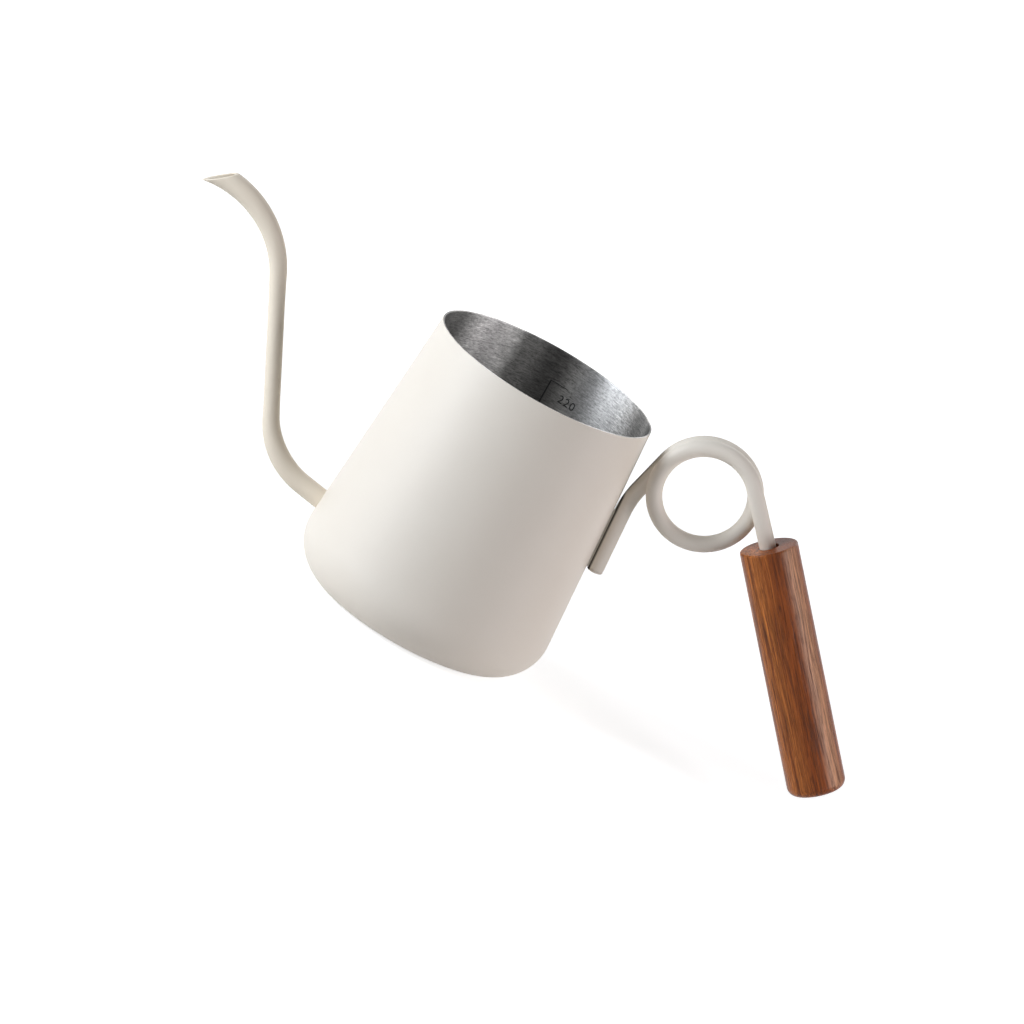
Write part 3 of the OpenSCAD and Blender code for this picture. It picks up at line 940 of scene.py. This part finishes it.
# %% Finishes for the hidden pieces
glue, tree, shader = new_material("cured_glue")
cloud = noise(tree, in_mm(tree), 1.2, 2.0, 0.5)
clouded = mix_colour(tree, cloud, (0.10, 0.065, 0.03, 1), (0.20, 0.14, 0.07, 1))
tree.links.new(clouded, shader.inputs["Base Color"])
tree.links.new(spread(tree, cloud, 0.3, 0.7, 0.25, 0.4), shader.inputs["Roughness"])


def finish_node(name, material):
    """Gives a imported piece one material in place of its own."""
    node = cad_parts[name]
    node.data.materials.clear()
    node.data.materials.append(material)


finish_node("spout_weld", weld_steel)
finish_node("handle_weld", cream_coat)
finish_node("grip_adhesive", glue)

# %% Which piece stands for which part
for piece, node, slot in (
    (cup, "body_shell", "coat"),
    (spout, "spout_tube", "coat"),
    (rod, "handle_rod", "coat"),
    (grip, "wood_grip", "wood"),
):
    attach(piece, "root")
    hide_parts(node)
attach(graduation, "root")

# %% [markdown]
# ## Floor, light and background
#
# The floor and the backdrop are plain white to the camera, and the floor keeps a soft shadow
# under the cup. A large soft lamp stands low on the left, a narrow one on the right and a weak
# one behind, and the world fills in the rest, so that a colour comes out about as it is written.


# %% The floor
GLOW_NEAR, GLOW_FAR, GLOW_LEAST = 180, 480, 0.72
floor_material, tree, shader = new_material("pale_floor")
tree.nodes.remove(shader)
output = next(n for n in tree.nodes if n.type == "OUTPUT_MATERIAL")
paths = add_node(tree, "ShaderNodeLightPath").outputs
seen = maths(tree, "MAXIMUM", paths["Is Camera Ray"], paths["Is Glossy Ray"])
seen = maths(tree, "MAXIMUM", seen, paths["Is Transmission Ray"])
pale = add_node(tree, "ShaderNodeBsdfDiffuse", {"Color": (0.8, 0.8, 0.8, 1)})
strength = spread(tree, length_of(tree, in_mm(tree)), GLOW_NEAR, GLOW_FAR, GLOW_LEAST, 1.0)
glow = add_node(tree, "ShaderNodeEmission", {"Color": (1, 1, 1, 1), "Strength": strength})
lit = add_node(tree, "ShaderNodeAddShader", {0: pale.outputs[0], 1: glow.outputs[0]})
shown = add_node(tree, "ShaderNodeMixShader", {0: seen, 1: pale.outputs[0], 2: lit.outputs[0]})
below = add_node(tree, "ShaderNodeNewGeometry").outputs["Backfacing"]
clear = add_node(tree, "ShaderNodeBsdfTransparent")
whole = add_node(tree, "ShaderNodeMixShader", {0: below, 1: shown.outputs[0], 2: clear.outputs[0]})
tree.links.new(whole.outputs[0], output.inputs["Surface"])

FLOOR_HALF, FLOOR_DROP = 4.0, 0.0002
floor_mesh = bpy.data.meshes.new("floor")
corners = FLOOR_HALF * np.array([[-1.0, -1, 0], [1, -1, 0], [1, 1, 0], [-1, 1, 0]])
corners[:, 2] -= FLOOR_DROP
floor_mesh.from_pydata(corners.tolist(), [], [[0, 1, 2, 3]])
floor_mesh.materials.append(floor_material)
floor = bpy.data.objects.new("floor", floor_mesh)
bpy.context.scene.collection.objects.link(floor)

# %% The world
WORLD_FILL = 0.03
world = bpy.data.worlds.new("studio")
bpy.context.scene.world = world
world.use_nodes = True
tree = world.node_tree
backdrop = tree.nodes["Background"]
paths = add_node(tree, "ShaderNodeLightPath").outputs
seen = maths(tree, "MAXIMUM", paths["Is Camera Ray"], paths["Is Transmission Ray"])
seen = maths(tree, "MAXIMUM", seen, paths["Is Glossy Ray"])
tree.links.new(spread(tree, seen, 0.0, 1.0, WORLD_FILL, 1.0), backdrop.inputs["Strength"])
backdrop.inputs["Color"].default_value = (1, 1, 1, 1)


# %% The lamps
def soft_lamp(name, azimuth, elevation, far, size, power, colour):
    """A rectangular lamp at an azimuth from -Y towards +X, aimed at the cup's middle."""
    lamp = bpy.data.objects.new(name, bpy.data.lights.new(name, "AREA"))
    lamp.data.shape, lamp.data.size, lamp.data.size_y = "RECTANGLE", size[0], size[1]
    lamp.data.energy, lamp.data.color = power, colour
    a, e = radians(azimuth), radians(elevation)
    aim = Vector((0.0, 0.0, 0.04))
    lamp.location = aim + far * Vector((sin(a) * cos(e), -cos(a) * cos(e), sin(e)))
    lamp.rotation_euler = (aim - lamp.location).to_track_quat("-Z", "Y").to_euler()
    bpy.context.scene.collection.objects.link(lamp)


soft_lamp("left_window", -66, 9, 1.1, (0.7, 0.9), 19.0, (0.875, 0.928, 1.0))
soft_lamp("back_fill", 165, 30, 1.3, (0.8, 0.8), 4.0, (1.0, 0.99, 0.975))
soft_lamp("right_strip", 75, 12, 1.0, (0.5, 0.8), 6.5, (0.993, 0.964, 1.0))

# %% The view transform, and the end
bpy.context.scene.view_settings.view_transform = "Standard"
